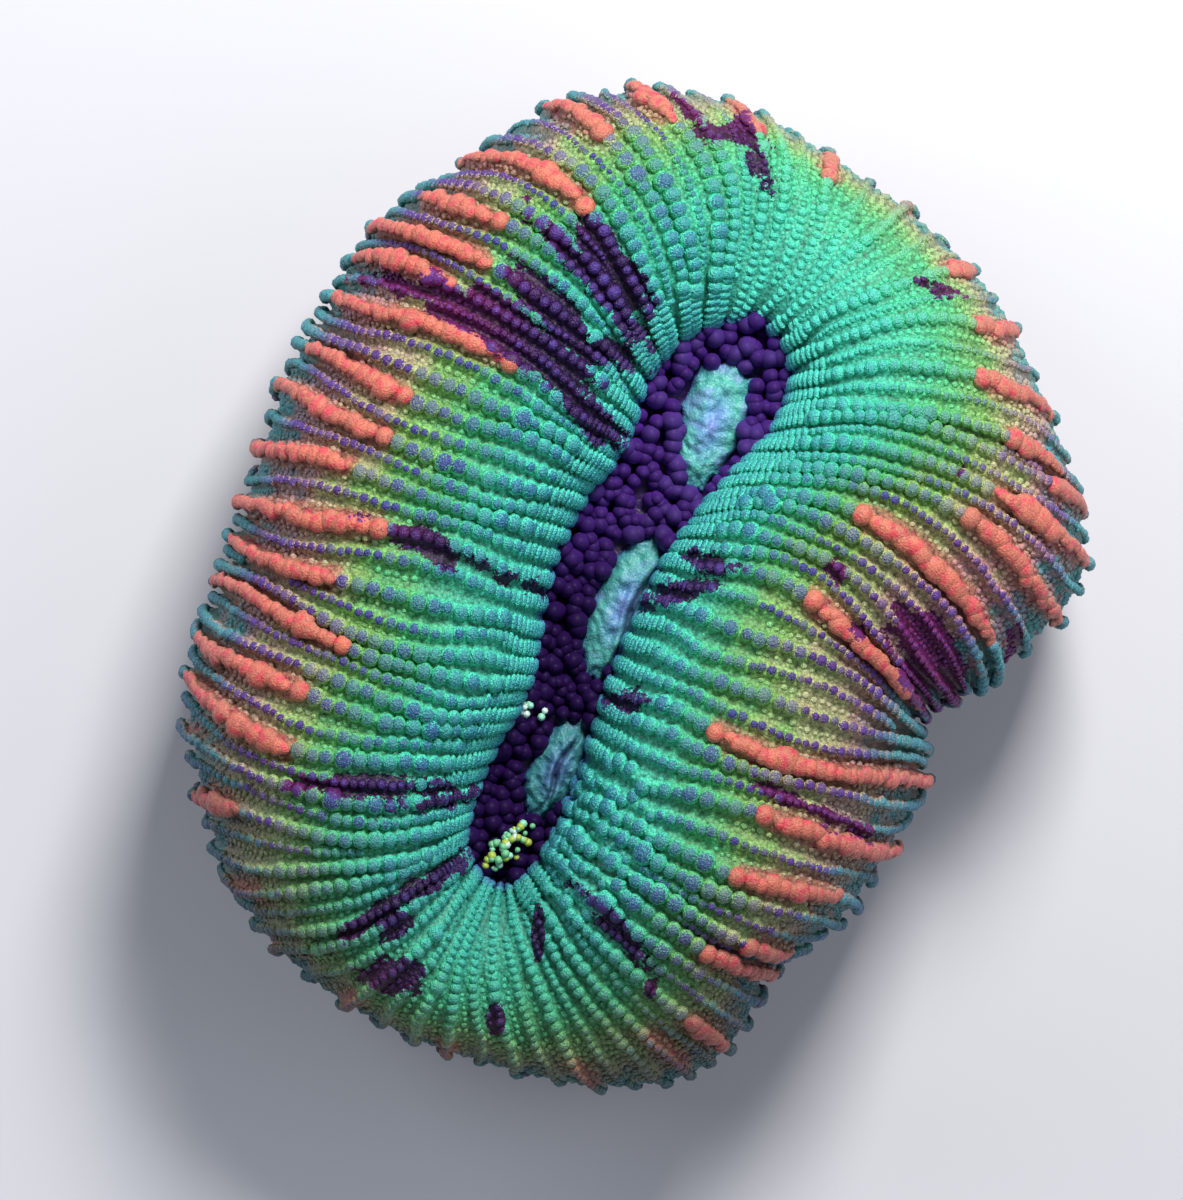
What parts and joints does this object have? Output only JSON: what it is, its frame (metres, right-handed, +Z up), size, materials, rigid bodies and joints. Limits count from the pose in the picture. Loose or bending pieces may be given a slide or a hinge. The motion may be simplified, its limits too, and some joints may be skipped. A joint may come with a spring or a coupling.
{
  "type": "brain coral",
  "caption": "Open brain coral: a fleshy beaded ring folded round one long valley of bubbles, on a stony foot cut off flat to rest on a plate.",
  "frame": {"origin": "centre of the bounding box at the height of the flat cut under the foot", "axes": "+X towards the east lobe, +Y along the longest extent towards the valley's wide north end, +Z up out of the valley"},
  "size_m": [0.1002, 0.1118, 0.0452],
  "materials": {
    "coral_flesh": "granular wet flesh over a stony skeleton, teal at the valley, through green and yellow, to tan at the rim, with maroon patches",
    "green_beads": "fine matt beads, green with blue-violet tips",
    "orange_crests": "soft matt lumps along the outer half of every other row, orange to salmon",
    "violet_beads": "fine matt violet beads in strings",
    "valley_bubbles": "smooth moist bubbles, deep violet with lighter rims",
    "mouth_flesh": "pale mint, fuzzy, folded flesh",
    "bare_skeleton": "rough chalky limestone with fine ribs"
  },
  "bodies": {
    "root": {"brain_coral": "coral_flesh"}
  },
  "joints": []
}
